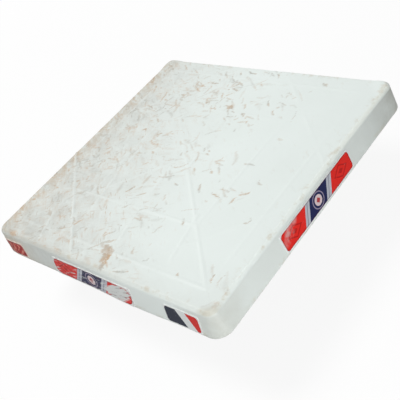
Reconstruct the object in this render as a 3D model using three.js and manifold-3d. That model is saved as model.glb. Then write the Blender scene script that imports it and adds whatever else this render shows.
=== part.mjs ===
// Baseball base: a moulded rubber cover bonded to a steel frame, with a square post that drops into
// the ground. Millimetres. +Z is up and the origin is the middle of the underside, level with the ground.
// -Y is the front, which carries three labels, and +X is the right-hand side.

import * as THREE from 'three';
import { mergeVertices } from 'three/addons/utils/BufferGeometryUtils.js';
import Module from 'manifold-3d';

const wasm = await Module();
wasm.setup();

// Gap between pieces that are bonded, welded or stuck to each other
const FIT = 0.3;

// Cover
const BASE_WIDTH = 381; // across the foot of the sides
const BASE_HEIGHT = 35;
const SIDE_DRAFT = THREE.MathUtils.degToRad(9.2); // lean of each side from upright
const EDGE_RADIUS = 4; // round between the sides and the top
const FOOT_CORNER_RADIUS = 19;
const TOP_CORNER_RADIUS = 11; // where the sides end and the edge round begins
const CORNER_STEPS = 8;
const EDGE_STEPS = 4;
const TOP_SKIN = 8;
const RIM_WIDTH = 25; // rubber border between the foot and the frame

// Hollows moulded up into the border, so that it gives under a foot
const RIM_OUTER_WALL = 9;
const RIM_INNER_WALL = 6;
const RIM_WEB = 8;
const RIM_HOLLOW_DEPTH = 20;
const RIM_HOLLOWS_PER_SIDE = 7;

// Low raised lines on the top
const RIDGE_WIDTH = 5;
const RIDGE_CREST = 2;
const RIDGE_HEIGHT = 0.6;
const RIDGE_BREAK = 3.5; // from one line's middle to the end of a line that meets it
const RIDGE_CORNER_RADIUS = 8;
const RIDGE_BORDER_INSET = 31.5; // from the foot to the square line along the edges
const RIDGE_CORNER_CUT = 102; // from that square's corner, along its sides, to each slanting line
const RIDGE_INNER_SQUARE = 182; // across the square line in the middle

// Steel channels of the frame
const CHANNEL_WIDTH = 24;
const CHANNEL_GAUGE = 2.5;
const GUSSET_THICKNESS = 3;
const GUSSET_LEG = 118; // along each rail's outer edge

// Plates in the middle
const STANCHION_PLATE_WIDTH = 110;
const STANCHION_PLATE_THICKNESS = 5;
const CENTRE_PLATE_MARGIN = 10; // stands out past the stanchion plate all round
const CENTRE_PLATE_THICKNESS = 4;
const BOLT_EDGE_DISTANCE = 15; // from the stanchion plate's edge to each bolt

// Post
const POST_WIDTH = 25.4;
const POST_WALL = 3.2;
const POST_CORNER_RADIUS = 3;
const POST_DEPTH = 101.6; // below the ground
const POST_LEAD_IN = 3; // slanted stretch at the lower end
const POST_LEAD_IN_INSET = 1.2;

// Bolts, washers and nuts
const BOLT_DIAMETER = 8;
const BOLT_HEAD_ACROSS_FLATS = 13;
const BOLT_HEAD_HEIGHT = 5.3;
const BOLT_HOLE_CLEARANCE = 0.5; // all round the shank in the plates
const BOLT_TIP = 1.2; // stands out past the nut
const BOLT_HEADROOM = 0.7; // from the tip to the underside of the cover
const FLAT_WASHER_DIAMETER = 16;
const FLAT_WASHER_THICKNESS = 1.6;
const LOCK_WASHER_DIAMETER = 14.8;
const LOCK_WASHER_THICKNESS = 2;
const LOCK_WASHER_SPLIT = THREE.MathUtils.degToRad(12);
const NUT_ACROSS_FLATS = 13;
const NUT_HEIGHT = 6.5;
const THREAD_CLEARANCE = 0.3; // all round the shank in the nut and washers
const ROUND_STEPS = 20;

// Rubber pads between the arms
const PAD_GROUND_GAP = 1;
const PAD_ROOF = 5;
const PAD_RIB = 5.5;
const PAD_CELL = 17.5;

// Printed labels
const LABEL_THICKNESS = 0.5;
const LABEL_CORNER_RADIUS = 3;
const STRIP_CORNER_DISTANCE = 120; // from the foot's corner to the strip's end
const STRIP_HEIGHT = 25.5;
const STRIP_RISE = 2.4; // from the foot, up the side, to the strip
const FRONT_STRIP_RISE = 0.3; // the front strip was stuck on lower, and off the middle
const FRONT_STRIP_SHIFT = -4.5;
const CORNER_LABEL_SPAN = 49.5; // seen from the front, with the end that turns the corner
const CORNER_LABEL_TURN = 13.5; // the part of that span which lies round the corner
const CORNER_LABEL_HEIGHT = 22;
const CORNER_LABEL_RISE = 1.5;
const END_LABEL_LENGTH = 49.5;
const END_LABEL_HEIGHT = 24;
const END_LABEL_RISE = 1.5;
const END_LABEL_GAP = 6.5;

// Levels and half widths that follow from the sizes above
const footHalf = BASE_WIDTH / 2;
const roundCentreHeight = BASE_HEIGHT - EDGE_RADIUS;
const creaseHeight = roundCentreHeight + EDGE_RADIUS * Math.sin(SIDE_DRAFT);
const creaseHalf = footHalf - creaseHeight * Math.tan(SIDE_DRAFT);
const ceiling = BASE_HEIGHT - TOP_SKIN;
const cavityHalf = footHalf - RIM_WIDTH;
const frameTop = ceiling - FIT;
const stackHeight = FLAT_WASHER_THICKNESS + LOCK_WASHER_THICKNESS + NUT_HEIGHT + BOLT_TIP;
const channelHeight = stackHeight + BOLT_HEADROOM;
const channelFoot = frameTop - channelHeight;
const railOuterHalf = cavityHalf - FIT;
const railInnerHalf = railOuterHalf - CHANNEL_WIDTH;
const centrePlateTop = channelFoot - FIT;
const stanchionPlateTop = centrePlateTop - CENTRE_PLATE_THICKNESS;
const stanchionPlateFoot = stanchionPlateTop - STANCHION_PLATE_THICKNESS;
const centrePlateWidth = STANCHION_PLATE_WIDTH + 2 * CENTRE_PLATE_MARGIN;
const boltReach = STANCHION_PLATE_WIDTH / 2 - BOLT_EDGE_DISTANCE;
const QUARTER_TURN = Math.PI / 2;
const UPRIGHT_AXIS = new THREE.Vector2();

const materials = {
  whiteRubber: new THREE.MeshStandardMaterial({ color: 0xe4ebe6, roughness: 0.62, metalness: 0 }),
  blackRubber: new THREE.MeshStandardMaterial({ color: 0x26272a, roughness: 0.8, metalness: 0 }),
  galvanisedSteel: new THREE.MeshStandardMaterial({ color: 0xa7adb0, roughness: 0.45, metalness: 0.9 }),
  zincPlatedSteel: new THREE.MeshStandardMaterial({ color: 0xc2c5c4, roughness: 0.3, metalness: 1 }),
  redVinyl: new THREE.MeshStandardMaterial({ color: 0xd8332f, roughness: 0.4, metalness: 0 }),
  blueVinyl: new THREE.MeshStandardMaterial({ color: 0x2a3158, roughness: 0.4, metalness: 0 }),
};

const base = new THREE.Group();

function addPiece(name, geometry, material, parent = base) {
  const mesh = new THREE.Mesh(geometry, material);
  mesh.name = name;
  parent.add(mesh);
  return mesh;
}

// A group turned about the upright axis, for what repeats on the four sides or at the four corners
function turnedGroup(angle) {
  const group = new THREE.Group();
  group.rotation.z = angle;
  base.add(group);
  return group;
}

function toSolid(geometry) {
  const bare = geometry.clone();
  bare.deleteAttribute('normal');
  bare.deleteAttribute('uv');
  const merged = mergeVertices(bare, 1e-4);
  const mesh = new wasm.Mesh({
    numProp: 3,
    vertProperties: new Float32Array(merged.attributes.position.array),
    triVerts: new Uint32Array(merged.index.array),
  });
  return new wasm.Manifold(mesh);
}

function toGeometry(solid) {
  const mesh = solid.getMesh();
  const geometry = new THREE.BufferGeometry();
  geometry.setAttribute('position', new THREE.BufferAttribute(mesh.vertProperties, 3));
  geometry.setIndex(new THREE.BufferAttribute(mesh.triVerts, 1));
  geometry.computeVertexNormals();
  return geometry;
}

function cutAll(solid, geometries) {
  return geometries.reduce((rest, geometry) => rest.subtract(toSolid(geometry)), solid);
}

function joinAll(solid, geometries) {
  return geometries.reduce((whole, geometry) => whole.add(toSolid(geometry)), solid);
}

function block(width, depth, low, high, x = 0, y = 0) {
  return new THREE.BoxGeometry(width, depth, high - low).translate(x, y, (low + high) / 2);
}

function prism(points, low, high) {
  const shape = new THREE.Shape(points.map(([x, y]) => new THREE.Vector2(x, y)));
  return new THREE.ExtrudeGeometry(shape, { depth: high - low, bevelEnabled: false }).translate(0, 0, low);
}

function roundedRectangle(width, height, radius) {
  const shape = new THREE.Shape();
  const x = width / 2 - radius;
  const y = height / 2 - radius;
  shape.absarc(x, y, radius, 0, QUARTER_TURN);
  shape.absarc(-x, y, radius, QUARTER_TURN, 2 * QUARTER_TURN);
  shape.absarc(-x, -y, radius, 2 * QUARTER_TURN, 3 * QUARTER_TURN);
  shape.absarc(x, -y, radius, 3 * QUARTER_TURN, 4 * QUARTER_TURN);
  shape.closePath();
  return shape;
}

// Skin over a stack of rounded squares, each with a half width, a corner radius and a height, lowest first
function loft(rings) {
  const outlines = rings.map(({ half, radius, height }) => {
    const points = [];
    for (let corner = 0; corner < 4; corner += 1) {
      const turn = corner * QUARTER_TURN;
      const middle = new THREE.Vector2(half - radius, half - radius).rotateAround(UPRIGHT_AXIS, turn);
      for (let step = 0; step <= CORNER_STEPS; step += 1) {
        const angle = turn + (QUARTER_TURN * step) / CORNER_STEPS;
        points.push(middle.x + radius * Math.cos(angle), middle.y + radius * Math.sin(angle), height);
      }
    }
    return points;
  });
  const count = 4 * (CORNER_STEPS + 1);
  const triangles = [];
  for (let ring = 0; ring < rings.length - 1; ring += 1) {
    for (let point = 0; point < count; point += 1) {
      const a = ring * count + point;
      const b = ring * count + ((point + 1) % count);
      triangles.push(a, b, b + count, a, b + count, a + count);
    }
  }
  const last = (rings.length - 1) * count;
  for (let point = 1; point < count - 1; point += 1) {
    triangles.push(0, point + 1, point);
    triangles.push(last, last + point, last + point + 1);
  }
  const geometry = new THREE.BufferGeometry();
  geometry.setAttribute('position', new THREE.Float32BufferAttribute(outlines.flat(), 3));
  geometry.setIndex(triangles);
  return geometry;
}

function hexagonPoints(acrossFlats) {
  const radius = acrossFlats / Math.sqrt(3);
  const points = [];
  for (let corner = 0; corner < 6; corner += 1) {
    const angle = (corner * Math.PI) / 3;
    points.push([radius * Math.cos(angle), radius * Math.sin(angle)]);
  }
  return points;
}

function rod(diameter, low, high) {
  const geometry = new THREE.CylinderGeometry(diameter / 2, diameter / 2, high - low, ROUND_STEPS);
  return geometry.rotateX(QUARTER_TURN).translate(0, 0, (low + high) / 2);
}

// Cover: outer skin, raised lines, cavity for the frame and hollows in the border
const ridgeFoot = BASE_HEIGHT - RIDGE_HEIGHT;
const ridgeTop = BASE_HEIGHT + RIDGE_HEIGHT;

// A raised line along +X
function ridge(from, to) {
  const profile = new THREE.Shape([
    new THREE.Vector2(-RIDGE_WIDTH / 2, ridgeFoot),
    new THREE.Vector2(RIDGE_WIDTH / 2, ridgeFoot),
    new THREE.Vector2(RIDGE_WIDTH / 2, BASE_HEIGHT),
    new THREE.Vector2(RIDGE_CREST / 2, ridgeTop),
    new THREE.Vector2(-RIDGE_CREST / 2, ridgeTop),
    new THREE.Vector2(-RIDGE_WIDTH / 2, BASE_HEIGHT),
  ]);
  const bar = new THREE.ExtrudeGeometry(profile, { depth: to - from, bevelEnabled: false });
  return bar.rotateX(QUARTER_TURN).rotateZ(QUARTER_TURN).translate(from, 0, 0);
}

function squareRidge(half) {
  const ring = (offset, height) => ({ half: half + offset, radius: RIDGE_CORNER_RADIUS + offset, height });
  const foot = RIDGE_WIDTH / 2;
  const crest = RIDGE_CREST / 2;
  const outside = loft([ring(foot, ridgeFoot), ring(foot, BASE_HEIGHT), ring(crest, ridgeTop)]);
  const inside = loft([
    ring(-foot, ridgeFoot - RIDGE_HEIGHT),
    ring(-foot, BASE_HEIGHT),
    ring(-crest, ridgeTop),
    ring(-crest, ridgeTop + RIDGE_HEIGHT),
  ]);
  return toGeometry(cutAll(toSolid(outside), [inside]));
}

function coverOutside() {
  const rings = [{ half: footHalf, radius: FOOT_CORNER_RADIUS, height: 0 }];
  const roundCentreHalf = creaseHalf - EDGE_RADIUS * Math.cos(SIDE_DRAFT);
  for (let step = 0; step <= EDGE_STEPS; step += 1) {
    const angle = SIDE_DRAFT + ((QUARTER_TURN - SIDE_DRAFT) * step) / EDGE_STEPS;
    const half = roundCentreHalf + EDGE_RADIUS * Math.cos(angle);
    rings.push({
      half,
      radius: TOP_CORNER_RADIUS - (creaseHalf - half),
      height: roundCentreHeight + EDGE_RADIUS * Math.sin(angle),
    });
  }
  return loft(rings);
}

// Two squares, a slanting line across each corner, and the diagonals in stretches between them
function coverRidges() {
  const borderHalf = footHalf - RIDGE_BORDER_INSET;
  const innerHalf = RIDGE_INNER_SQUARE / 2;
  const cornerReach = (half) => (half - RIDGE_CORNER_RADIUS) * Math.SQRT2 + RIDGE_CORNER_RADIUS;
  const slantReach = (borderHalf - RIDGE_CORNER_CUT / 2) * Math.SQRT2;
  const slantHalfLength = RIDGE_CORNER_CUT / Math.SQRT2 - 2 * RIDGE_BREAK;
  const stops = [0, cornerReach(innerHalf), slantReach, cornerReach(borderHalf)];
  const lines = [squareRidge(borderHalf), squareRidge(innerHalf)];
  for (let corner = 0; corner < 4; corner += 1) {
    const turn = (corner + 0.5) * QUARTER_TURN;
    for (let index = 0; index < stops.length - 1; index += 1) {
      lines.push(ridge(stops[index] + RIDGE_BREAK, stops[index + 1] - RIDGE_BREAK).rotateZ(turn));
    }
    const slant = ridge(-slantHalfLength, slantHalfLength).rotateZ(QUARTER_TURN);
    lines.push(slant.translate(slantReach, 0, 0).rotateZ(turn));
  }
  return lines;
}

function rimHollows() {
  const outer = footHalf - RIM_OUTER_WALL;
  const inner = cavityHalf + RIM_INNER_WALL;
  const run = 2 * cavityHalf;
  const pitch = run / RIM_HOLLOWS_PER_SIDE;
  const hollows = [];
  for (let side = 0; side < 4; side += 1) {
    for (let index = 0; index < RIM_HOLLOWS_PER_SIDE; index += 1) {
      const along = -run / 2 + pitch * (index + 0.5);
      const hollow = block(outer - inner, pitch - RIM_WEB, -RIM_HOLLOW_DEPTH, RIM_HOLLOW_DEPTH);
      hollows.push(hollow.translate((outer + inner) / 2, along, 0).rotateZ(side * QUARTER_TURN));
    }
  }
  return hollows;
}

const cavity = block(2 * cavityHalf, 2 * cavityHalf, -ceiling, ceiling);
const cover = cutAll(joinAll(toSolid(coverOutside()), coverRidges()), [cavity, ...rimHollows()]);
addPiece('cover', toGeometry(cover), materials.whiteRubber);

// Frame: rails along the sides, arms on the diagonals and gussets at the corners
const channelHollowWidth = CHANNEL_WIDTH - 2 * CHANNEL_GAUGE;
const channelHollowTop = frameTop - CHANNEL_GAUGE;
const channelHollowFoot = channelFoot - channelHeight;

function railGeometry() {
  const outline = [
    [-railOuterHalf + FIT, -railOuterHalf],
    [railOuterHalf - FIT, -railOuterHalf],
    [railInnerHalf - FIT, -railInnerHalf],
    [-railInnerHalf + FIT, -railInnerHalf],
  ];
  const middle = -(railOuterHalf + railInnerHalf) / 2;
  const hollow = block(2 * footHalf, channelHollowWidth, channelHollowFoot, channelHollowTop, 0, middle);
  return toGeometry(cutAll(toSolid(prism(outline, channelFoot, frameTop)), [hollow]));
}

// An arm lies along +X before it is turned: pointed where the four arms meet and in the rails' corner
function armGeometry() {
  const halfWidth = CHANNEL_WIDTH / 2;
  const start = FIT;
  const end = (railInnerHalf - FIT) * Math.SQRT2;
  const outline = [
    [start, 0],
    [start + halfWidth, -halfWidth],
    [end - halfWidth, -halfWidth],
    [end, 0],
    [end - halfWidth, halfWidth],
    [start + halfWidth, halfWidth],
  ];
  const hollow = block(2 * end, channelHollowWidth, channelHollowFoot, channelHollowTop, end, 0);
  return toGeometry(cutAll(toSolid(prism(outline, channelFoot, frameTop)), [hollow]));
}

function gussetGeometry() {
  const outer = railOuterHalf;
  const outline = [
    [outer, outer],
    [outer - GUSSET_LEG, outer],
    [outer, outer - GUSSET_LEG],
  ];
  return prism(outline, centrePlateTop - GUSSET_THICKNESS, centrePlateTop);
}

const SIDES = ['front', 'right', 'rear', 'left'];
const CORNERS = ['rear_right', 'rear_left', 'front_left', 'front_right'];

SIDES.forEach((side, index) => {
  const place = turnedGroup(index * QUARTER_TURN);
  addPiece(`frame_rail_${side}`, railGeometry(), materials.galvanisedSteel, place);
});
CORNERS.forEach((corner, index) => {
  const place = turnedGroup(index * QUARTER_TURN);
  const diagonal = turnedGroup((index + 0.5) * QUARTER_TURN);
  addPiece(`frame_arm_${corner}`, armGeometry(), materials.galvanisedSteel, diagonal);
  addPiece(`corner_gusset_${corner}`, gussetGeometry(), materials.galvanisedSteel, place);
});

// Plates in the middle, with their bolt holes on the axes
const boltPlaces = SIDES.map((side, index) => {
  const place = new THREE.Vector2(0, -boltReach).rotateAround(UPRIGHT_AXIS, index * QUARTER_TURN);
  return { side, x: place.x, y: place.y };
});

function plateGeometry(width, low, high) {
  const thickness = high - low;
  const diameter = BOLT_DIAMETER + 2 * BOLT_HOLE_CLEARANCE;
  const hole = rod(diameter, low - thickness, high + thickness);
  const holes = boltPlaces.map(({ x, y }) => hole.clone().translate(x, y, 0));
  return toGeometry(cutAll(toSolid(block(width, width, low, high)), holes));
}

addPiece(
  'centre_plate',
  plateGeometry(centrePlateWidth, stanchionPlateTop, centrePlateTop),
  materials.galvanisedSteel,
);
addPiece(
  'stanchion_plate',
  plateGeometry(STANCHION_PLATE_WIDTH, stanchionPlateFoot, stanchionPlateTop),
  materials.galvanisedSteel,
);

// Post: a square tube with a slanted lower end, open at the bottom
function postGeometry() {
  const half = POST_WIDTH / 2;
  const top = stanchionPlateFoot - FIT;
  const outside = loft([
    { half: half - POST_LEAD_IN_INSET, radius: POST_CORNER_RADIUS, height: -POST_DEPTH },
    { half, radius: POST_CORNER_RADIUS, height: -POST_DEPTH + POST_LEAD_IN },
    { half, radius: POST_CORNER_RADIUS, height: top },
  ]);
  const bore = block(POST_WIDTH - 2 * POST_WALL, POST_WIDTH - 2 * POST_WALL, -2 * POST_DEPTH, 2 * top);
  return toGeometry(cutAll(toSolid(outside), [bore]));
}

addPiece('stanchion_post', postGeometry(), materials.galvanisedSteel);

// Bolts from below, with a flat washer, a spring washer and a nut on the centre plate
function boltGeometry() {
  const tip = centrePlateTop + stackHeight;
  const hexagon = hexagonPoints(BOLT_HEAD_ACROSS_FLATS);
  const head = prism(hexagon, stanchionPlateFoot - BOLT_HEAD_HEIGHT, stanchionPlateFoot);
  const shank = rod(BOLT_DIAMETER, stanchionPlateFoot - BOLT_HEAD_HEIGHT / 2, tip);
  return toGeometry(joinAll(toSolid(head), [shank]));
}

function ringGeometry(diameter, low, high, split = 0) {
  const inner = BOLT_DIAMETER / 2 + THREAD_CLEARANCE;
  const shape = new THREE.Shape();
  if (split > 0) {
    shape.absarc(0, 0, diameter / 2, split / 2, 2 * Math.PI - split / 2);
    shape.absarc(0, 0, inner, 2 * Math.PI - split / 2, split / 2, true);
    shape.closePath();
  } else {
    shape.absarc(0, 0, diameter / 2, 0, 2 * Math.PI);
    shape.holes.push(new THREE.Path().absarc(0, 0, inner, 0, 2 * Math.PI, true));
  }
  const extent = { depth: high - low, bevelEnabled: false, curveSegments: ROUND_STEPS };
  return new THREE.ExtrudeGeometry(shape, extent).translate(0, 0, low);
}

function nutGeometry(low) {
  const high = low + NUT_HEIGHT;
  const bore = rod(BOLT_DIAMETER + 2 * THREAD_CLEARANCE, low - NUT_HEIGHT, high + NUT_HEIGHT);
  return toGeometry(cutAll(toSolid(prism(hexagonPoints(NUT_ACROSS_FLATS), low, high)), [bore]));
}

const lockWasherFoot = centrePlateTop + FLAT_WASHER_THICKNESS;
const nutFoot = lockWasherFoot + LOCK_WASHER_THICKNESS;

for (const { side, x, y } of boltPlaces) {
  const stack = {
    bolt: boltGeometry(),
    flat_washer: ringGeometry(FLAT_WASHER_DIAMETER, centrePlateTop, lockWasherFoot),
    lock_washer: ringGeometry(LOCK_WASHER_DIAMETER, lockWasherFoot, nutFoot, LOCK_WASHER_SPLIT),
    nut: nutGeometry(nutFoot),
  };
  for (const [kind, geometry] of Object.entries(stack)) {
    const mesh = addPiece(`stanchion_${kind}_${side}`, geometry, materials.zincPlatedSteel);
    mesh.position.set(x, y, 0);
  }
}

// Pads: each fills the space between two arms, a rail, two gussets and the centre plate
const padNear = centrePlateWidth / 2 + FIT;
const padFar = railInnerHalf - FIT;

function padOutline() {
  const armFlank = (CHANNEL_WIDTH / 2 + FIT) * Math.SQRT2;
  const gussetLine = 2 * railOuterHalf - GUSSET_LEG - FIT * Math.SQRT2;
  const knee = (gussetLine + armFlank) / 2;
  return [
    [padNear - armFlank, -padNear],
    [armFlank - padNear, -padNear],
    [armFlank - knee, -knee],
    [padFar - gussetLine, -padFar],
    [gussetLine - padFar, -padFar],
    [knee - armFlank, -knee],
  ];
}

// True where a point lies inside the outline with a rib's width left at every edge
function clearOfEdges(outline, x, y) {
  return outline.every(([fromX, fromY], index) => {
    const [toX, toY] = outline[(index + 1) % outline.length];
    const edge = new THREE.Vector2(toX - fromX, toY - fromY).normalize();
    return edge.cross(new THREE.Vector2(x - fromX, y - fromY)) >= PAD_RIB;
  });
}

function padGeometry() {
  const outline = padOutline();
  const roof = ceiling - FIT - PAD_ROOF;
  const pitch = PAD_CELL + PAD_RIB;
  const half = PAD_CELL / 2;
  const columns = Math.ceil(railOuterHalf / pitch);
  const rows = Math.floor((padFar - padNear - PAD_RIB) / pitch);
  const firstRow = -(padFar + padNear) / 2 - ((rows - 1) * pitch) / 2;
  const cells = [];
  for (let row = 0; row < rows; row += 1) {
    const y = firstRow + row * pitch;
    for (let column = -columns; column <= columns; column += 1) {
      const x = column * pitch;
      if ([-half, half].every((dx) => [-half, half].every((dy) => clearOfEdges(outline, x + dx, y + dy)))) {
        cells.push(block(PAD_CELL, PAD_CELL, PAD_GROUND_GAP - roof, roof, x, y));
      }
    }
  }
  return toGeometry(cutAll(toSolid(prism(outline, PAD_GROUND_GAP, ceiling - FIT)), cells));
}

SIDES.forEach((side, index) => {
  addPiece(`support_pad_${side}`, padGeometry(), materials.blackRubber, turnedGroup(index * QUARTER_TURN));
});

// Labels lie on the leaning sides: along X, up the side along Y, outwards along Z
function addLabel(name, material, sideIndex, { length, height, centre, rise }) {
  const face = new THREE.Group();
  face.position.set(0, -footHalf, 0);
  face.rotation.x = QUARTER_TURN - SIDE_DRAFT;
  turnedGroup(sideIndex * QUARTER_TURN).add(face);
  const shape = roundedRectangle(length, height, LABEL_CORNER_RADIUS);
  const extent = { depth: LABEL_THICKNESS, bevelEnabled: false, curveSegments: 4 };
  const mesh = addPiece(name, new THREE.ExtrudeGeometry(shape, extent), material, face);
  mesh.position.set(centre, rise + height / 2, FIT);
}

const stripLength = BASE_WIDTH - 2 * STRIP_CORNER_DISTANCE;
SIDES.forEach((side, index) => {
  const isFront = side === 'front';
  addLabel(`side_strip_${side}`, materials.redVinyl, index, {
    length: stripLength,
    height: STRIP_HEIGHT,
    centre: isFront ? FRONT_STRIP_SHIFT : 0,
    rise: isFront ? FRONT_STRIP_RISE : STRIP_RISE,
  });
});
const flatHalf = footHalf - FOOT_CORNER_RADIUS;
addLabel('end_label', materials.blueVinyl, 0, {
  length: END_LABEL_LENGTH,
  height: END_LABEL_HEIGHT,
  centre: flatHalf - END_LABEL_GAP - END_LABEL_LENGTH / 2,
  rise: END_LABEL_RISE,
});

// The cover's sides, moved outwards
function sidesOutside(offset) {
  const outwards = offset / Math.cos(SIDE_DRAFT);
  const foot = { half: footHalf + outwards, radius: FOOT_CORNER_RADIUS + outwards, height: 0 };
  const crease = { half: creaseHalf + outwards, radius: TOP_CORNER_RADIUS + outwards, height: creaseHeight };
  return loft([foot, crease]);
}

// The corner label bends with the sides, so it is cut out of a thin layer over them
function cornerLabelGeometry() {
  const layer = cutAll(toSolid(sidesOutside(FIT + LABEL_THICKNESS)), [sidesOutside(FIT)]);
  const shape = roundedRectangle(CORNER_LABEL_SPAN, CORNER_LABEL_HEIGHT, LABEL_CORNER_RADIUS);
  const extent = { depth: FOOT_CORNER_RADIUS, bevelEnabled: false, curveSegments: 4 };
  const centre = -flatHalf - CORNER_LABEL_TURN + CORNER_LABEL_SPAN / 2;
  const outline = new THREE.ExtrudeGeometry(shape, extent);
  outline.translate(centre, CORNER_LABEL_RISE + CORNER_LABEL_HEIGHT / 2, -FOOT_CORNER_RADIUS / 2);
  outline.rotateX(QUARTER_TURN - SIDE_DRAFT).translate(0, -footHalf, 0);
  return toGeometry(layer.intersect(toSolid(outline)));
}

addPiece('corner_label', cornerLabelGeometry(), materials.redVinyl);

export default base;
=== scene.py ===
"""Baseball base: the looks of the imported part, in metres and in its frame.

A white rubber cover on a galvanised frame, with a post for a sleeve in the ground and printed labels
on the sides.
"""

import math

import bmesh
import bpy
import numpy as np
from mathutils import Matrix, Vector


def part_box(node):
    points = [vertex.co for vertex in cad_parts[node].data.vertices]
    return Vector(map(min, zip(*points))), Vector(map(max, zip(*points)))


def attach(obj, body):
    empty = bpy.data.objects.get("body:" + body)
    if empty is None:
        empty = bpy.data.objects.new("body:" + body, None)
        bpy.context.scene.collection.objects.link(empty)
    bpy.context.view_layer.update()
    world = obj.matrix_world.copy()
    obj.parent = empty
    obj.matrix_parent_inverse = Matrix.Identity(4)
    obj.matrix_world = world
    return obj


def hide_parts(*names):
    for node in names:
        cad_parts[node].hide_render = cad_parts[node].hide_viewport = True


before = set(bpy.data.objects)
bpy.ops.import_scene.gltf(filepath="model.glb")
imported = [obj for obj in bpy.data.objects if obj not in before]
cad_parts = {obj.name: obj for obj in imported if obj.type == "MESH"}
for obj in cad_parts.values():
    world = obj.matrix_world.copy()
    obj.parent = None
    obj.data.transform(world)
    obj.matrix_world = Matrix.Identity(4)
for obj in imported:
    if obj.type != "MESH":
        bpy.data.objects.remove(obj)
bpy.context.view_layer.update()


# Frame rails and arms: channels folded from 2.5 mm steel sheet. Four rails are mitred into a square,
# four arms run on its diagonals to the middle, and the whole was dipped in molten zinc after welding.
MM = 0.001  # sizes are in millimetres, and this makes metres of them
SIDES = ("front", "right", "rear", "left")
CORNERS = ("rear_right", "rear_left", "front_left", "front_right")
FOLD_RADIUS = 0.8
SPANGLE = 6.0  # width of a zinc crystal
TOUCHING = 0.01  # points nearer to each other than this are one


def linear(code):
    """A colour written as sRGB hex, in the linear values that shaders take."""
    shares = [int(code[at:at + 2], 16) / 255 for at in (1, 3, 5)]
    return [s / 12.92 if s <= 0.04045 else ((s + 0.055) / 1.055) ** 2.4 for s in shares] + [1.0]


def fill(node, *values, **named):
    """Sets up a node. Values go to its inputs in turn, names with a capital to the inputs of that name, and
    other names to its settings. A node as a value means its first output, and a hex code its colour."""
    for name in [name for name in named if name[0].islower()]:
        setattr(node, name, named.pop(name))
    in_turn = [socket for socket in node.inputs if socket.enabled]
    by_name = [node.inputs[name.replace("_", " ")] for name in named]
    for socket, value in [*zip(in_turn, values), *zip(by_name, named.values())]:
        if isinstance(value, bpy.types.Node):
            value = next(output for output in value.outputs if output.enabled)
        if isinstance(value, bpy.types.NodeSocket):
            node.id_data.links.new(value, socket)
        else:
            socket.default_value = linear(value) if str(value).startswith("#") else value
    return node


def add(tree, kind, *values, **named):
    """Adds a node with its settings and links. Its kind is given without its family, and a kind in capitals
    is an operation of the Math node."""
    if kind.isupper():
        kind, named["operation"] = "Math", kind
    families = ("ShaderNode",)
    if tree.type == "GEOMETRY":
        families = ("GeometryNode", "FunctionNode", "ShaderNode", "")
    family = next(family for family in families if hasattr(bpy.types, family + kind))
    return fill(tree.nodes.new(family + kind), *values, **named)


def mixed(tree, share, under, over):
    """Two colours mixed, or one laid over the other by a share."""
    return add(tree, "Mix", share, under, over, data_type="RGBA")


def noise(tree, where, size, **settings):
    """Noise whose patches are about so many millimetres wide."""
    return add(tree, "TexNoise", where, 1 / (size * MM), **settings)


def new_material(name):
    """An empty material: its node tree and its surface shader."""
    material = bpy.data.materials.new(name)
    material.use_nodes = True
    return material, material.node_tree, material.node_tree.nodes["Principled BSDF"]


# Galvanised steel: dull grey metal in crystals a few millimetres wide, each catching the light a little
# differently.
galvanised_steel, tree, surface = new_material("galvanised_steel")
place = add(tree, "TexCoord").outputs["Object"]
crystals = add(tree, "TexVoronoi", Vector=place, Scale=1 / (SPANGLE * MM))
tone = add(tree, "SeparateColor", crystals.outputs["Color"])
bloom = noise(tree, place, 30, Detail=5.0)
shade = add(tree, "MULTIPLY", tone.outputs["Red"], bloom)
zinc = mixed(tree, shade, "#8E9497", "#C3C8CA")
dullness = add(tree, "MapRange", tone.outputs["Green"], To_Min=0.36, To_Max=0.56)
skin = noise(tree, place, 3, Detail=3.0)
relief = add(tree, "Bump", Height=skin, Strength=0.25, Distance=0.2 * MM)
fill(surface, Base_Color=zinc, Metallic=1.0, Roughness=dullness, Normal=relief)


def softened(node, edge):
    """A copy of a CAD node's mesh: its triangles joined into flat faces, and its corners rounded off by so
    many millimetres."""
    form = bmesh.new()
    form.from_mesh(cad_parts[node].data)
    bmesh.ops.remove_doubles(form, verts=form.verts, dist=TOUCHING * MM)
    bmesh.ops.dissolve_limit(form, angle_limit=math.radians(1), verts=form.verts, edges=form.edges)
    corners = [e for e in form.edges if e.is_manifold and e.calc_face_angle() > math.radians(25)]
    bmesh.ops.bevel(
        form, geom=corners, offset=edge * MM, segments=2, profile=0.5, affect="EDGES", clamp_overlap=True)
    mesh = bpy.data.meshes.new(node)
    form.to_mesh(mesh)
    form.free()
    return mesh


def new_tree(name, **inputs):
    """An empty geometry-node tree with the named inputs, and its entry's sockets."""
    made = bpy.data.node_groups.new(name, "GeometryNodeTree")
    for way in ("INPUT", "OUTPUT"):
        made.interface.new_socket("Geometry", in_out=way, socket_type="NodeSocketGeometry")
    for label, kind in inputs.items():
        made.interface.new_socket(label.replace("_", " "), in_out="INPUT", socket_type=f"NodeSocket{kind}")
    return made, add(made, "NodeGroupInput").outputs


def in_scene(name, data):
    """A new object in the scene."""
    made = bpy.data.objects.new(name, data)
    bpy.context.scene.collection.objects.link(made)
    return made


def made_with(grown, name, mesh, **inputs):
    """An object whose plain mesh is what a geometry-node tree makes of a mesh."""
    piece = in_scene(name, mesh)
    modifier = piece.modifiers.new(grown.name, "NODES")
    modifier.node_group = grown
    for socket in grown.interface.items_tree:
        label = socket.name.replace(" ", "_")
        if socket.in_out == "INPUT" and label in inputs:
            modifier[socket.identifier] = inputs[label]
    graph = bpy.context.evaluated_depsgraph_get()
    shown = piece.evaluated_get(graph)
    result = bpy.data.meshes.new_from_object(shown, preserve_all_data_layers=True, depsgraph=graph)
    piece.modifiers.remove(modifier)
    piece.data = result
    return piece


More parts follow.
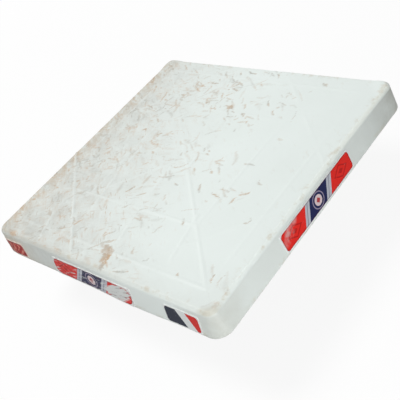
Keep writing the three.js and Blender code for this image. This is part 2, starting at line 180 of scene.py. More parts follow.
def on_base(piece, slot, *nodes):
    """The piece rides on the base and stands for these CAD nodes, if any. Its slot is not used."""
    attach(piece, "root")
    if nodes:
        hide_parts(*nodes)


# Turns one piece about the upright axis, once for each side or corner
four_round, entry = new_tree("four_round", Count="Int", Material="Material")
spots = add(four_round, "Points", Count=entry["Count"])
index = add(four_round, "InputIndex")
part_turn = add(four_round, "DIVIDE", 2 * math.pi, entry["Count"])
turn = add(four_round, "MULTIPLY", index, part_turn)
spin = add(four_round, "AxisAngleToRotation", Axis=(0, 0, 1), Angle=turn)
placed = add(four_round, "InstanceOnPoints", Points=spots, Instance=entry["Geometry"], Rotation=spin)
solid = add(four_round, "RealizeInstances", placed)
coated = add(four_round, "SetMaterial", solid, Material=entry["Material"])
add(four_round, "NodeGroupOutput", coated)


def dressed(name, edge, material, slot, *nodes):
    """A piece with softened edges for one CAD node, or for four that are the first one turned round."""
    piece = made_with(four_round, name, softened(nodes[0], edge), Count=len(nodes), Material=material)
    on_base(piece, slot, *nodes)


dressed("rails", FOLD_RADIUS, galvanised_steel, "galvanised_steel",
        *[f"frame_rail_{side}" for side in SIDES])
dressed("arms", FOLD_RADIUS, galvanised_steel, "galvanised_steel",
        *[f"frame_arm_{corner}" for corner in CORNERS])


# Corner gussets and centre plate: flat steel cut from 3 and 4 mm sheet, welded under the rails' corners
# and under the crossing of the arms. They were galvanised together with the channels.
CUT_EDGE = 0.5
WELD_LENGTH = 8.0
WELD_RADIUS = 1.5
WELD_PITCH = 2.2  # from one drop of steel to the next
WELD_DROP = 0.5  # how far the middle of a bead lies below the lips
ARM_LIP = 10.75  # from an arm's middle line to the middle of its lip
RAIL_LIPS = (142.4, 161.6)  # from the middle of the base to the middles of a rail's lips

dressed("gussets", CUT_EDGE, galvanised_steel, "galvanised_steel",
        *[f"corner_gusset_{corner}" for corner in CORNERS])
dressed("middle_plate", CUT_EDGE, galvanised_steel, "galvanised_steel", "centre_plate")

# A weld: drops of steel laid one over the next along a path, so that ripples run across the bead and its
# ends taper off
weld, entry = new_tree("weld_bead", Radius="Float", Pitch="Float", Count="Int", Material="Material")
path = add(weld, "MeshToCurve", entry["Geometry"])
step = add(weld, "MULTIPLY", entry["Pitch"], 0.25)
steps = add(weld, "ResampleCurve", Curve=path, Length=step, mode="LENGTH")
along = add(weld, "SplineParameter")
drops = add(weld, "DIVIDE", along.outputs["Length"], entry["Pitch"])
phase = add(weld, "MULTIPLY", drops, math.pi)
wave = add(weld, "SINE", phase)
ripple = add(weld, "ABSOLUTE", wave)
from_end = add(weld, "PINGPONG", along.outputs["Factor"], 0.5)
taper = add(weld, "MapRange", from_end, From_Max=0.12, To_Min=0.35)
swollen = add(weld, "MapRange", ripple, To_Min=0.78)
shape = add(weld, "MULTIPLY", taper, swollen)
thickness = add(weld, "MULTIPLY", shape, entry["Radius"])
ring = add(weld, "CurvePrimitiveCircle", Resolution=8)
bead = add(weld, "CurveToMesh", Curve=steps, Profile_Curve=ring, Scale=thickness, Fill_Caps=True)
copies = add(weld, "Group", bead, Count=entry["Count"], Material=entry["Material"], node_tree=four_round)
add(weld, "NodeGroupOutput", copies)


def welded(name, beads, radius):
    """Welds along straight lines given by their ends in millimetres, repeated on the four sides."""
    paths = bpy.data.meshes.new(name)
    ends = [Vector(end) * MM for bead in beads for end in bead]
    paths.from_pydata(ends, [(at, at + 1) for at in range(0, len(ends), 2)], [])
    piece = made_with(
        weld, name, paths, Radius=radius * MM, Pitch=WELD_PITCH * MM, Count=4, Material=galvanised_steel)
    piece.data.shade_smooth()
    on_base(piece, "galvanised_steel")


# Short beads where a plate's edge crosses the lips of a channel: two on the middle plate's edges, then two
# over the arm and four over the rails on a gusset's long edge
lip_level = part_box("frame_rail_front")[0].z / MM - WELD_DROP
plate_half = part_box("centre_plate")[1].x / MM
plate_lip = plate_half - ARM_LIP * math.sqrt(2)
gusset_low, gusset_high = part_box("corner_gusset_rear_right")
gusset_edge = (gusset_low.x + gusset_high.x) / MM  # x and y together, anywhere on the long edge
aslant = Vector((1, -1, 0)) / math.sqrt(2)
weld_spots = [(plate_half, plate_lip, Vector((0, 1, 0))), (plate_lip, plate_half, Vector((1, 0, 0)))]
for x in (gusset_edge / 2 - ARM_LIP / math.sqrt(2), gusset_edge / 2 + ARM_LIP / math.sqrt(2)):
    weld_spots.append((x, gusset_edge - x, aslant))
for reach in RAIL_LIPS:
    weld_spots += [(reach, gusset_edge - reach, aslant), (gusset_edge - reach, reach, aslant)]
welded("frame_welds", [
    [Vector((x, y, lip_level)) + way * end for end in (-WELD_LENGTH / 2, WELD_LENGTH / 2)]
    for x, y, way in weld_spots], WELD_RADIUS)


# Support pads: four black rubber mouldings with square pockets, pressed between the arms under the cover.
# They carry the top where no channel runs.
PAD_EDGE = 1.0

# Black rubber: matte and a little dusty, with the grain of the mould, drawn coarser than the real one.
black_rubber, tree, surface = new_material("black_rubber")
place = add(tree, "TexCoord").outputs["Object"]
dust = noise(tree, place, 25, Detail=6.0, Roughness=0.65)
dusted = add(tree, "MapRange", dust, 0.35, 0.8)
tint = mixed(tree, dusted, "#222326", "#4A4744")
grain = noise(tree, place, 1.2, Detail=2.0)
relief = add(tree, "Bump", Height=grain, Strength=0.3, Distance=0.2 * MM)
fill(surface, Base_Color=tint, Roughness=0.78, Normal=relief)

dressed("pads", PAD_EDGE, black_rubber, "black_rubber", *[f"support_pad_{side}" for side in SIDES])


# Cover: one shell of white rubber, moulded over the frame and bonded to it. Its sides lean in, low raised
# lines cross its top, and the border has hollows underneath. Games have scuffed it and rubbed infield clay
# into it.
FOOT_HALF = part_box("cover")[1].x / MM
TOP = 35.0
DRAFT = math.radians(9.2)
EDGE_DROP = 4.4  # how far the softened top edge reaches down the side
EDGE_INSET = 3.4  # and how far in from it
EDGE_FULLNESS = 0.25  # nearer 0 the softened edge is a plain bevel
BOW = 1.8  # how far the foot of the front bulges at most
BOW_MIDDLE = 65.0
BOW_REACH = 88.0
PRESS = 2.5  # how far the foot of the front left corner is pushed in at most
PRESS_START = 350.0  # counted leftwards and forwards from the middle, together
PRESS_END = 368.0
LIFT = 1.2  # how far the two rear corners stand up
LIFT_START = 334.0  # counted sideways and backwards from the middle, together
LIFT_END = 354.0
FOOT_ROUND = 1.0
FOOT_CORNER = 19.0
EDGE_CORNER = 11.0  # corner radius where the round along the top begins
STEPS_ALONG = 248
STEPS_IN_CORNER = 5
STEPS_DOWN = 9  # over the softened edge, and again down the side
BORDER_WIDTH = 25.0
CAVITY_HALF = FOOT_HALF - BORDER_WIDTH
CEILING = 27.0
HOLLOW_SIZE = (10.0, 39.3, 20.0)
HOLLOW_REACH = 176.5  # from the middle of the base to the middle of a hollow
HOLLOWS_PER_SIDE = 7
RIDGE_WIDTH = 5.5
RIDGE_CREST = 0.8
RIDGE_BORDER = 159.0  # half widths of the two squares of raised lines
RIDGE_SQUARE = 91.0
RIDGE_SLANT = 216.0  # sum of the two distances from the middle along each slanting line
UNEVENNESS = 0.15


def rounded_square(straight, corner, half, radius):
    """Lays points of a square net on a square with round corners. In a corner's patch the net becomes a
    quarter disc."""
    size = np.abs(corner)
    large = size.max(axis=-1)
    angle = np.pi / 4 * size.min(axis=-1) / np.maximum(large, 1e-9)
    near, far = large * np.sin(angle), large * np.cos(angle)
    swapped = size[..., 1] > size[..., 0]
    patch = np.stack([np.where(swapped, near, far), np.where(swapped, far, near)], axis=-1)
    return straight * (half - radius) + np.sign(corner) * patch * radius


def in_use(x, y, height):
    """Where places on the sides have moved to in use: the front's foot bulges, and a corner is pushed in."""
    share = np.clip((x - BOW_MIDDLE) / BOW_REACH, -1, 1)
    bulge = BOW * np.cos(share * np.pi / 2) ** 2 * (1 - (height / TOP) ** 2)
    press = PRESS * np.clip((-x - y - PRESS_START) / (PRESS_END - PRESS_START), 0, 1) * (1 - height / TOP)
    return x + press / math.sqrt(2), y + press / math.sqrt(2) - np.where(y < -RIDGE_BORDER, bulge, 0)


def lifted(x, y, height):
    """Heights of places on the cover: its two rear corners have curled up."""
    share = np.clip((np.abs(x) + y - LIFT_START) / (LIFT_END - LIFT_START), 0, 1)
    return height + LIFT * share ** 2 * (3 - 2 * share) * height / TOP


crease = TOP - EDGE_DROP
crease_half = FOOT_HALF - crease * math.tan(DRAFT)
sharp_half = FOOT_HALF - TOP * math.tan(DRAFT)
flat_half = sharp_half - EDGE_INSET
flat_corner = EDGE_CORNER - (crease_half - flat_half)

run = np.linspace(-1, 1, STEPS_ALONG + 1)
ramp = np.linspace(0, 1, STEPS_IN_CORNER + 1)[1:]
straight_run = np.concatenate([np.full(STEPS_IN_CORNER, -1.0), run, np.full(STEPS_IN_CORNER, 1.0)])
corner_run = np.concatenate([-ramp[::-1], np.zeros(STEPS_ALONG + 1), ramp])
straight = np.stack(np.meshgrid(straight_run, straight_run, indexing="ij"), axis=-1)
corner = np.stack(np.meshgrid(corner_run, corner_run, indexing="ij"), axis=-1)
count = len(straight_run)
numbers = np.arange(count * count).reshape(count, count)
rim = np.concatenate([numbers[:, 0], numbers[-1, 1:], numbers[-2::-1, -1], numbers[0, -2:0:-1]])
rim_straight, rim_corner = straight.reshape(-1, 2)[rim], corner.reshape(-1, 2)[rim]

levels = []  # half width, corner radius and height of each ring, from the top's edge down to the foot
for step in np.linspace(0, 1, STEPS_DOWN + 1)[1:]:
    pulls = np.array([(1 - step) ** 2, 2 * EDGE_FULLNESS * step * (1 - step), step ** 2])
    half, height = pulls / pulls.sum() @ [(flat_half, TOP), (sharp_half, TOP), (crease_half, crease)]
    levels.append((half, EDGE_CORNER - (crease_half - half), height))
for height in np.linspace(crease, FOOT_ROUND, STEPS_DOWN + 1)[1:]:
    radius = EDGE_CORNER + (FOOT_CORNER - EDGE_CORNER) * (1 - height / crease)
    levels.append((FOOT_HALF - height * math.tan(DRAFT), radius, height))
levels.append((FOOT_HALF - 0.3 * FOOT_ROUND, FOOT_CORNER, 0.3 * FOOT_ROUND))
levels.append((FOOT_HALF - FOOT_ROUND, FOOT_CORNER, 0.0))

top_points = rounded_square(straight, corner, flat_half, flat_corner).reshape(-1, 2)
points = [np.column_stack([top_points, lifted(*top_points.T, TOP)])]
for half, radius, height in levels:
    ring = rounded_square(rim_straight, rim_corner, half, radius)
    points.append(np.column_stack([*in_use(*ring.T, height), lifted(*ring.T, height)]))
net = [numbers[:-1, :-1], numbers[1:, :-1], numbers[1:, 1:], numbers[:-1, 1:]]
faces = np.stack(net, axis=-1).reshape(-1, 4).tolist()
upper = rim
for level in range(len(levels)):
    lower = count * count + level * len(rim) + np.arange(len(rim))
    faces += np.stack([upper, lower, np.roll(lower, -1), np.roll(upper, -1)], axis=-1).tolist()
    upper = lower
shell = bpy.data.meshes.new("cover_shell")
shell.from_pydata((np.concatenate(points) * MM).tolist(), [], faces)


def drawn(name, lines, **values):
    """An object of plain lines on the top, in millimetres. Each named attribute has one value, or a row, for
    each line."""
    spots, edges = [], []
    for line in lines:
        edges += [(len(spots) + step, len(spots) + step + 1) for step in range(len(line) - 1)]
        spots += [(x * MM, y * MM, TOP * MM) for x, y in line]
    mesh = bpy.data.meshes.new(name)
    mesh.from_pydata(spots, edges, [])
    for label, each in values.items():
        spread = np.concatenate([np.broadcast_to(value, len(line)) for value, line in zip(each, lines)])
        mesh.attributes.new(label, "FLOAT", "POINT").data.foreach_set("value", spread)
    return in_scene(name, mesh)


# Fainter lines of the front half: how high, and the points that they run through
FAINT_LINES = [
    (0.6, [(-82, 3), (-80, -40), (-76, -72), (-67, -116)]), (0.6, [(82, -77), (88, -110), (94, -142)]),
    (0.9, [(-124, -110), (-119, -137), (-104, -174)]), (0.8, [(-91, -91), (-129, -91)]),
    (0.9, [(-153, -105), (-131, -92)]), (0.6, [(2, -108), (10, -138)]), (0.7, [(14, 10), (15, -24)]),
    (0.6, [(-10, -22), (-6, -62)]),
]

# Heights of the raised lines in millimetres, worn down by use: border and inner square from each corner on to
# the next one anticlockwise, then the slanting line across that corner and the line from the middle to it
ridge_lines, ridge_heights = [], []
for (a, b), heights in (
        ((1, 1), (0.3, 0.2, 0.25, 0.2)), ((-1, 1), (0.4, 0.4, 0.3, 0.25)),
        ((-1, -1), (0.6, 0.6, 1.4, 0.4)), ((1, -1), (0.35, 0.4, 0.2, 0.6))):
    near = RIDGE_SLANT - sharp_half
    for half in (RIDGE_BORDER, RIDGE_SQUARE):
        ridge_lines.append([(a * half, b * half), (-b * half, a * half)])
    ridge_lines.append([(a * sharp_half, b * near), (a * near, b * sharp_half)])
    ridge_lines.append([(0, 0), (a * RIDGE_BORDER, b * RIDGE_BORDER)])
    ridge_heights += heights
for height, line in FAINT_LINES:
    ridge_lines.append(line)
    ridge_heights.append(height)
ridges = drawn("ridge_lines", ridge_lines, height=[height * MM for height in ridge_heights])

# Marks that stand out on the top: middle, length, width, direction and bend in degrees, and strength
MARKS = [
    (4, -158, 15, 15, -52, 0, 0.85), (12, -161, 18, 16, -60, 0, 0.95), (14, -170, 18, 14, -58, 0, 0.9),
    (18, -179, 12, 9, -65, 0, 0.8), (-5, -153, 11, 7, -30, 0, 0.5), (-3, 101, 10, 10, -15, 0, 0.85),
    (26, 91, 7, 7, -40, 0, 0.75), (-15, 116, 14, 2.6, -12, 15, 0.6), (93, 12, 15, 5, 0, 0, 0.5),
    (124, -12, 13, 3.2, -45, 40, 0.55), (117, -32, 15, 3.8, 35, 20, 0.7), (109, -45, 12, 4.5, 75, 0, 0.6),
    (147, -66, 13, 2.8, 65, 70, 0.65), (72, -92, 14, 3.6, -55, 0, 0.7), (67, -73, 28, 1.6, 25, 0, 0.4),
    (77, -55, 8, 2.2, 20, 120, 0.45), (48, 9, 14, 2.4, 45, 50, 0.5), (61, -8, 18, 3.8, -48, 0, 0.5),
    (24, 19, 3, 3.4, 0, 0, 0.7), (-95, 93, 28, 4.2, -52, 0, 0.55), (-92, 101, 10, 3.6, -10, 0, 0.5),
    (-92, 121, 26, 3.2, 5, 0, 0.4), (-40, 108, 20, 4.2, 5, 0, 0.45), (2, 148, 34, 3.6, -38, 0, 0.3),
    (105, 165, 8, 8, -30, 0, 0.6), (-136, 55, 27, 4.2, -52, 0, 0.45), (-138, 30, 6, 4.5, 0, 0, 0.5),
    (-162, 9, 12, 8, 20, 0, 0.45), (-163, -15, 14, 9, -20, 0, 0.4), (-166, -42, 12, 9, 10, 0, 0.55),
    (-106, -92, 12, 3.2, 12, 0, 0.75), (-107, -83, 17, 1.8, -10, -40, 0.4), (-22, -93, 13, 3.4, 45, 0, 0.6),
    (6, -64, 12, 3.2, 30, 30, 0.45), (20, -66, 10, 3.4, -60, 0, 0.5), (28, -72, 10, 2.8, -40, 0, 0.4),
    (20, -85, 40, 2.2, 0, 0, 0.3), (13, -100, 26, 5.5, -5, 0, 0.3), (-8, -31, 11, 2.8, -50, 0, 0.6),
    (-18, -30, 10, 2.4, -55, 0, 0.35), (-45, -39, 6, 2.8, 0, 150, 0.45), (-127, -136, 17, 6, -38, 0, 0.6),
    (-49, -141, 7, 3.8, -70, 0, 0.55), (0, -145, 14, 4.2, 35, 0, 0.65), (40, -147, 12, 3.4, -60, 40, 0.55),
    (66, -152, 9, 3.2, 45, 60, 0.5), (117, -155, 8, 2.8, -45, 0, 0.6), (-87, -150, 5, 3.4, 0, 0, 0.5),
    (-56, -121, 16, 2.8, -45, 20, 0.45), (-30, -123, 16, 2.8, -55, 20, 0.4),
    (-130, -158, 7, 2.4, 0, 160, 0.5), (-44, -168, 14, 2.8, -52, 0, 0.5), (-154, -182, 20, 10, -12, 0, 0.7),
    (-60, -180, 16, 5, 0, 0, 0.55), (-51, 125, 8, 4, 0, 0, 0.45), (82, 95, 8, 4.5, -30, 0, 0.3),
    (105, 60, 8, 5.5, 0, 0, 0.35),
    (66, 133, 9, 3.2, -70, 0, 0.3), (-27, 77, 9, 3.8, 35, 0, 0.35), (-28, 23, 10, 2.8, -45, 0, 0.45),
    (181, -171, 10, 6, 60, 0, 0.3), (183, -152, 9, 4, 85, 0, 0.3), (184, -131, 7, 4, 80, 0, 0.25),
    (-130, 7, 7, 3.4, -45, 0, 0.5), (-107, -28, 10, 4.5, 0, 0, 0.45), (-127, -54, 10, 2.8, 45, 0, 0.45),
]
# Scattered marks, thickest on the left: how many, and the least and greatest length, width and strength
SMALL_MARKS = (900, (5, 26), (1.8, 4.8), (0.12, 1.0))
SMUDGES = (260, (10, 28), (6.0, 11.0), (0.08, 0.5))
MARK_BEND = 14  # spread of their bends in degrees
CLUSTERS = 150
CLUSTER_SPREAD = 14
CLUSTER_REACH = 185  # how far from the middle a cluster can lie
MARK_REACH = 184  # and how far a mark
EDGE_MARKS = 0.12  # share of the clusters that lie along the left edge
LEFT_EDGE = -180
RIGHT_SHARE = 0.02  # chance that a cluster far on the right is kept
THICKENING = (90, 270)  # where the chance begins to grow, and how far to the left it still grows
STROKE_TAPER = np.array([0.4, 0.75, 0.95, 1.0, 0.9, 0.65, 0.3])  # shares of its width along a mark
SCUFF_DEPTH = 0.5
SCUFF_FRAYING = 6.5  # how far a mark's outline strays at most, from one side to the other

chance = np.random.default_rng(5)
spots = []
while len(spots) < CLUSTERS:
    x, y = chance.uniform(-CLUSTER_REACH, CLUSTER_REACH, 2)
    if len(spots) < EDGE_MARKS * CLUSTERS:
        spots.append((LEFT_EDGE, y))
    elif chance.random() < RIGHT_SHARE + (1 - RIGHT_SHARE) * np.clip(
            (THICKENING[0] - x) / THICKENING[1], 0, 1) ** 1.2:
        spots.append((x, y))
scattered = []
for number, lengths, widths, strengths in (SMALL_MARKS, SMUDGES):
    marks = []
    while len(marks) < number:
        x, y = np.array(spots[chance.integers(CLUSTERS)]) + chance.normal(0, CLUSTER_SPREAD, 2)
        # Two in three run one way aslant, and the others across it
        heading = chance.normal(-45, 25) if chance.random() < 0.65 else chance.normal(30, 25)
        length = lengths[0] + (lengths[1] - lengths[0]) * chance.random() ** 2
        strength = strengths[0] + (strengths[1] - strengths[0]) * chance.random() ** 2
        if max(abs(x), abs(y)) < MARK_REACH:
            width, bend = chance.uniform(*widths), chance.normal(0, MARK_BEND)
            marks.append((x, y, length, width, heading, bend, strength))
    scattered.append(marks)
scuff_plans = []
for name, marks in zip(("large_scuffs", "small_scuffs", "smudges"), (MARKS, *scattered)):
    strokes, reaches, strengths = [], [], []
    for x, y, length, width, heading, bend, strength in marks:
        angles = np.radians(heading + bend * np.linspace(-1, 1, len(STROKE_TAPER)))
        steps = np.column_stack([np.cos(angles), np.sin(angles)]) * length / len(STROKE_TAPER)
        path = np.cumsum(steps, axis=0)
        strokes.append(path - path.mean(axis=0) + (x, y))
        reaches.append(STROKE_TAPER * width / 2 * MM)
        strengths.append(strength)
    scuff_plans.append(drawn(name, strokes, reach=reaches, strength=strengths))

# A hollow open at the foot: its walls and roof, which face inwards, and the outline of its mouth
pocket, entry = new_tree("pocket", Size="Vector")
box = add(pocket, "MeshCube", Size=entry["Size"])
width, breadth, depth = add(pocket, "SeparateXYZ", entry["Size"]).outputs
half_depth = add(pocket, "MULTIPLY", depth, 0.5)
rise = add(pocket, "CombineXYZ", Z=half_depth)
raised = add(pocket, "Transform", box, Translation=rise)
facing = add(pocket, "InputNormal")
facing_z = add(pocket, "SeparateXYZ", facing).outputs["Z"]
downwards = add(pocket, "Compare", facing_z, -0.5, operation="LESS_THAN")
opened = add(pocket, "DeleteGeometry", raised, Selection=downwards, domain="FACE")
walls = add(pocket, "FlipFaces", opened)
mouth = add(pocket, "CurvePrimitiveQuadrilateral", Width=width, Height=breadth)
both = fill(add(pocket, "JoinGeometry", walls), mouth)
add(pocket, "NodeGroupOutput", both)

# The shell's foot is closed round the mouths of the hollows, the lines rise from the top and the scuffs sink
# into it, and the whole is made a little uneven
mould, entry = new_tree(
    "moulded_cover", Ridges="Object", Material="Material", Large_Scuffs="Object", Small_Scuffs="Object",
    Smudges="Object", Scuff_Depth="Float", Scuff_Fraying="Float", Ridge_Width="Float", Ridge_Crest="Float",
    Top="Float", Cavity="Vector", Hollow="Vector", Hollow_Reach="Float", Hollow_Pitch="Float", Hollows="Int",
    Unevenness="Float")
cavity = add(mould, "Group", Size=entry["Cavity"], node_tree=pocket)
hollow = add(mould, "Group", Size=entry["Hollow"], node_tree=pocket)
gaps = add(mould, "ADD", entry["Hollows"], -1.0)
row_length = add(mould, "MULTIPLY", gaps, entry["Hollow Pitch"])
low_end = add(mould, "MULTIPLY", row_length, -0.5)
row_start = add(mould, "CombineXYZ", X=entry["Hollow Reach"], Y=low_end)
row_step = add(mould, "CombineXYZ", Y=entry["Hollow Pitch"])
row_spots = add(mould, "MeshLine", Count=entry["Hollows"], Start_Location=row_start, Offset=row_step)
row = add(mould, "InstanceOnPoints", Points=row_spots, Instance=hollow)
rows = add(mould, "Group", row, Count=4, node_tree=four_round)
pockets = fill(add(mould, "JoinGeometry", cavity), rows)
split = add(mould, "SeparateComponents", pockets)
beside = add(mould, "InputMeshEdgeNeighbors")
foot_edge = add(mould, "Compare", beside, 1, data_type="INT", operation="EQUAL")
foot = add(mould, "MeshToCurve", entry["Geometry"], Selection=foot_edge)
outlines = fill(add(mould, "JoinGeometry", foot), split.outputs["Curve"])
sole = add(mould, "FillCurve", outlines)
underside = add(mould, "FlipFaces", sole)
parts = add(mould, "JoinGeometry", entry["Geometry"])
for part in (split.outputs["Mesh"], underside):
    fill(parts, part)
closed = add(mould, "MergeByDistance", parts, Distance=TOUCHING * MM)
spot = add(mould, "InputPosition")
level = add(mould, "SeparateXYZ", spot).outputs["Z"]
on_top = add(mould, "Compare", level, entry["Top"], Epsilon=TOUCHING * MM, operation="EQUAL")
ridge_plan = add(mould, "ObjectInfo", Object=entry["Ridges"]).outputs["Geometry"]
ridge_gap = add(mould, "Proximity", ridge_plan, target_element="EDGES").outputs["Distance"]
half_width = add(mould, "MULTIPLY", entry["Ridge Width"], 0.5)
half_crest = add(mould, "MULTIPLY", entry["Ridge Crest"], 0.5)


def along_lines(plan, label, seen_from):
    """The value held by the line of a plan that is nearest to a place."""
    nearest = add(mould, "SampleNearest", plan, Sample_Position=seen_from, domain="EDGE")
    stored = add(mould, "InputNamedAttribute", Name=label)
    return add(mould, "SampleIndex", plan, Value=stored, Index=nearest, domain="EDGE")


wander = noise(mould, spot, 55, Detail=2.0)
worn_down = add(mould, "MapRange", wander, 0.38, 0.6, To_Min=0.35)
height = add(mould, "MULTIPLY", along_lines(ridge_plan, "height", spot), worn_down)
swell = add(
    mould, "MapRange", ridge_gap, half_width, half_crest, To_Max=height, interpolation_type="SMOOTHSTEP")
crest = add(mould, "DIVIDE", swell, 1.0 * MM)
frayed = noise(mould, spot, 9, Detail=5.0).outputs["Color"]
sway = add(mould, "VectorMath", frayed, (0.5, 0.5, 0.5), operation="SUBTRACT")
level_sway = add(mould, "VectorMath", sway, (1, 1, 0), operation="MULTIPLY")
strayed = add(mould, "VectorMath", level_sway, Scale=entry["Scuff Fraying"], operation="SCALE")
swayed = add(mould, "VectorMath", spot, strayed, operation="ADD")
rubs = []
for label, firmness in (("Large Scuffs", 0.6), ("Small Scuffs", 0.25), ("Smudges", 0.1)):
    plan = add(mould, "ObjectInfo", Object=entry[label]).outputs["Geometry"]
    nearest = add(mould, "Proximity", plan, Sample_Position=swayed, target_element="EDGES")
    reach = along_lines(plan, "reach", swayed)
    core = add(mould, "MULTIPLY", reach, firmness)
    strength = along_lines(plan, "strength", swayed)
    rubs.append(add(
        mould, "MapRange", nearest.outputs["Distance"], reach, core, To_Max=strength,
        interpolation_type="SMOOTHSTEP"))
dug = add(mould, "MAXIMUM", rubs[0], rubs[1])
dent = add(mould, "MULTIPLY", dug, entry["Scuff Depth"])
rise = add(mould, "SUBTRACT", swell, dent)
lift = add(mould, "CombineXYZ", Z=rise)
scuff = add(mould, "MAXIMUM", dug, rubs[2])
noted = closed
for label, value in (("scuff", scuff), ("crest", crest)):
    noted = add(mould, "StoreNamedAttribute", noted, Name=label, Value=value)
ridged = add(mould, "SetPosition", noted, Selection=on_top, Offset=lift)
swing = add(mould, "MapRange", wander, To_Min=-1.0, To_Max=1.0)
shift = add(mould, "MULTIPLY", swing, entry["Unevenness"])
outwards = add(mould, "InputNormal")
drift = add(mould, "VectorMath", outwards, Scale=shift, operation="SCALE")
uneven = add(mould, "SetPosition", ridged, Offset=drift)
single = add(mould, "RealizeInstances", uneven)
coated = add(mould, "SetMaterial", single, Material=entry["Material"])
add(mould, "NodeGroupOutput", coated)

# White moulded rubber: satin, slightly cool white. Dust greys it, most on the left, clay is rubbed into it as
# tan streaks, smears and fine scratches, and a yellowish film lies along the edges and at the foot. A grey
# film of dust and painted shade darkens the top towards the front. Painted shade darkens the sides towards
# their corners and towards the rear right-hand corner, and the front rim, and a painted highlight lightens
# the right-hand rim. The grain is drawn coarser than the real one.
white_rubber, tree, surface = new_material("white_rubber")
place = add(tree, "TexCoord").outputs["Object"]
x, y, z = add(tree, "SeparateXYZ", place).outputs
size = add(tree, "VectorMath", place, operation="ABSOLUTE")
size_x, size_y = add(tree, "SeparateXYZ", size).outputs[:2]
outer = add(tree, "MAXIMUM", size_x, size_y)
inner = add(tree, "MINIMUM", size_x, size_y)
to_rear_right = add(tree, "ADD", x, y)
to_front_right = add(tree, "SUBTRACT", x, y)
up = add(tree, "MapRange", z, 31 * MM, 34 * MM)
above = add(tree, "MapRange", z, 30 * MM, 32 * MM)
below = add(tree, "MapRange", z, 31.5 * MM, 29.5 * MM)
aslant = add(tree, "MULTIPLY_ADD", y, 0.35, x)
leftwards = add(tree, "MapRange", aslant, 80 * MM, -220 * MM, interpolation_type="SMOOTHSTEP")
cloud = noise(tree, place, 80, Detail=4.0, Roughness=0.55)
look = mixed(tree, cloud, "#F0F8F5", "#E8F0EC")
patches = noise(tree, place, 28, Detail=7.0, Roughness=0.68)
film = add(tree, "MULTIPLY", leftwards, patches)
thin = add(tree, "MULTIPLY", film, 1.2)
look = mixed(tree, thin, look, "#C2C3BD")


def streaked(tree, where, heading, lengths, **settings):
    """Noise drawn out into streaks: their heading in degrees, and their length, width and height in
    millimetres."""
    laid = add(
        tree, "Mapping", Vector=where, Rotation=(0, 0, math.radians(heading)),
        Scale=[length * MM for length in lengths], vector_type="TEXTURE")
    return add(tree, "TexNoise", laid, 1.0, **settings)


smears = streaked(tree, place, -40, (20, 8, 12), Detail=6.0, Roughness=0.72)
mottled = add(tree, "MapRange", smears, 0.4, 0.7)
# Share of the painted shade on the front rim, more towards the left
front_rim_shade = add(tree, "MapRange", leftwards, To_Min=0.08, To_Max=0.3)
# Share of the painted highlight on the right-hand rim, growing towards the rear
right_rim_highlight = add(tree, "MapRange", y, -100 * MM, 90 * MM, To_Max=0.9)

# Films laid one over the other: what each follows, where it begins and is thickest in millimetres, its
# greatest share, what thins it, and its colour. Two lie on the top: a grey film towards the front, partly
# dust and partly painted shade, and tan clay along the left edge. Four lie on the sides: painted shade
# towards the corners, painted shade towards the rear right-hand corner, a yellowish film on the left and a
# slight grey-tan
# film on the right. Three lie on the rim: painted shade along the front, most on the left, a painted
# highlight along the right-hand side, strongest towards the rear, and a yellowish-brown stain at the front
# right-hand corner, which is also painted shade over the corner's highlight.
for follows, start, end, most, thinned_by, colour in (
        (y, -120, -180, 0.3, (up, patches), "#B4B6AF"), (x, -150, -185, 0.9, (up, mottled), "#B99E7C"),
        (inner, 130, 180, 0.5, (below, patches), "#9C937C"),
        (to_rear_right, 285, 350, 0.5, (below, patches), "#7C7D77"),
        (x, -95, -150, 0.3, (below, patches), "#F4DDB0"), (x, 180, 185, 0.13, (below, patches), "#9C937C"),
        (y, -179.5, -183, 1.0, (front_rim_shade, above), "#AFAB9E"),
        (x, 180, 183, 1.0, (right_rim_highlight, above), "#F4FAF3"),
        (to_front_right, 347, 359, 1.0, (patches, above), "#B3A88F")):
    share = add(tree, "MapRange", follows, start * MM, end * MM, To_Max=most)
    for mask in thinned_by:
        share = add(tree, "MULTIPLY", share, mask)
    look = mixed(tree, share, look, colour)

edge = add(tree, "MapRange", outer, 171 * MM, 187 * MM, interpolation_type="SMOOTHSTEP")
top_edge = add(tree, "MULTIPLY", edge, up)
foot = add(tree, "MapRange", z, 7 * MM, 0.0)
bounds = add(tree, "MAXIMUM", top_edge, foot)
spotty = noise(tree, place, 11, Detail=4.0, Roughness=0.6)
grime = add(tree, "MapRange", spotty, 0.54, 0.7, To_Min=0.03, To_Max=0.7)
grimy = add(tree, "MULTIPLY", bounds, grime)
streaks = noise(tree, place, 3, Detail=5.0, Roughness=0.7)
broken = add(tree, "MapRange", streaks, 0.26, 0.52)
rubbed = add(tree, "Attribute", attribute_name="scuff").outputs["Fac"]
strokes = add(tree, "MULTIPLY", rubbed, broken)
more = add(tree, "MULTIPLY_ADD", leftwards, 0.17, smears)
smeared = add(tree, "MapRange", more, 0.58, 0.86, To_Max=0.24)
upper = add(tree, "MULTIPLY", smeared, up)
rubbed_in = add(tree, "MAXIMUM", strokes, upper)
soiled = add(tree, "MapRange", leftwards, From_Max=0.45)
soiled_top = add(tree, "MULTIPLY", soiled, up)
for heading in (-47, 25):
    fine = streaked(tree, place, heading, (14, 2, 12), Detail=1.5, Roughness=0.5, Distortion=0.8)
    often = add(tree, "MULTIPLY_ADD", leftwards, 0.05, fine)
    scratch = add(tree, "MapRange", often, 0.68, 0.78, To_Max=0.6)
    scratched = add(tree, "MULTIPLY", scratch, soiled_top)
    rubbed_in = add(tree, "MAXIMUM", rubbed_in, scratched)
raised = add(tree, "Attribute", attribute_name="crest").outputs["Fac"]
rubbed_off = add(tree, "MULTIPLY", raised, 0.3)
clay = add(tree, "SUBTRACT", rubbed_in, rubbed_off, use_clamp=True)
kinds = noise(tree, place, 20, Detail=3.0)
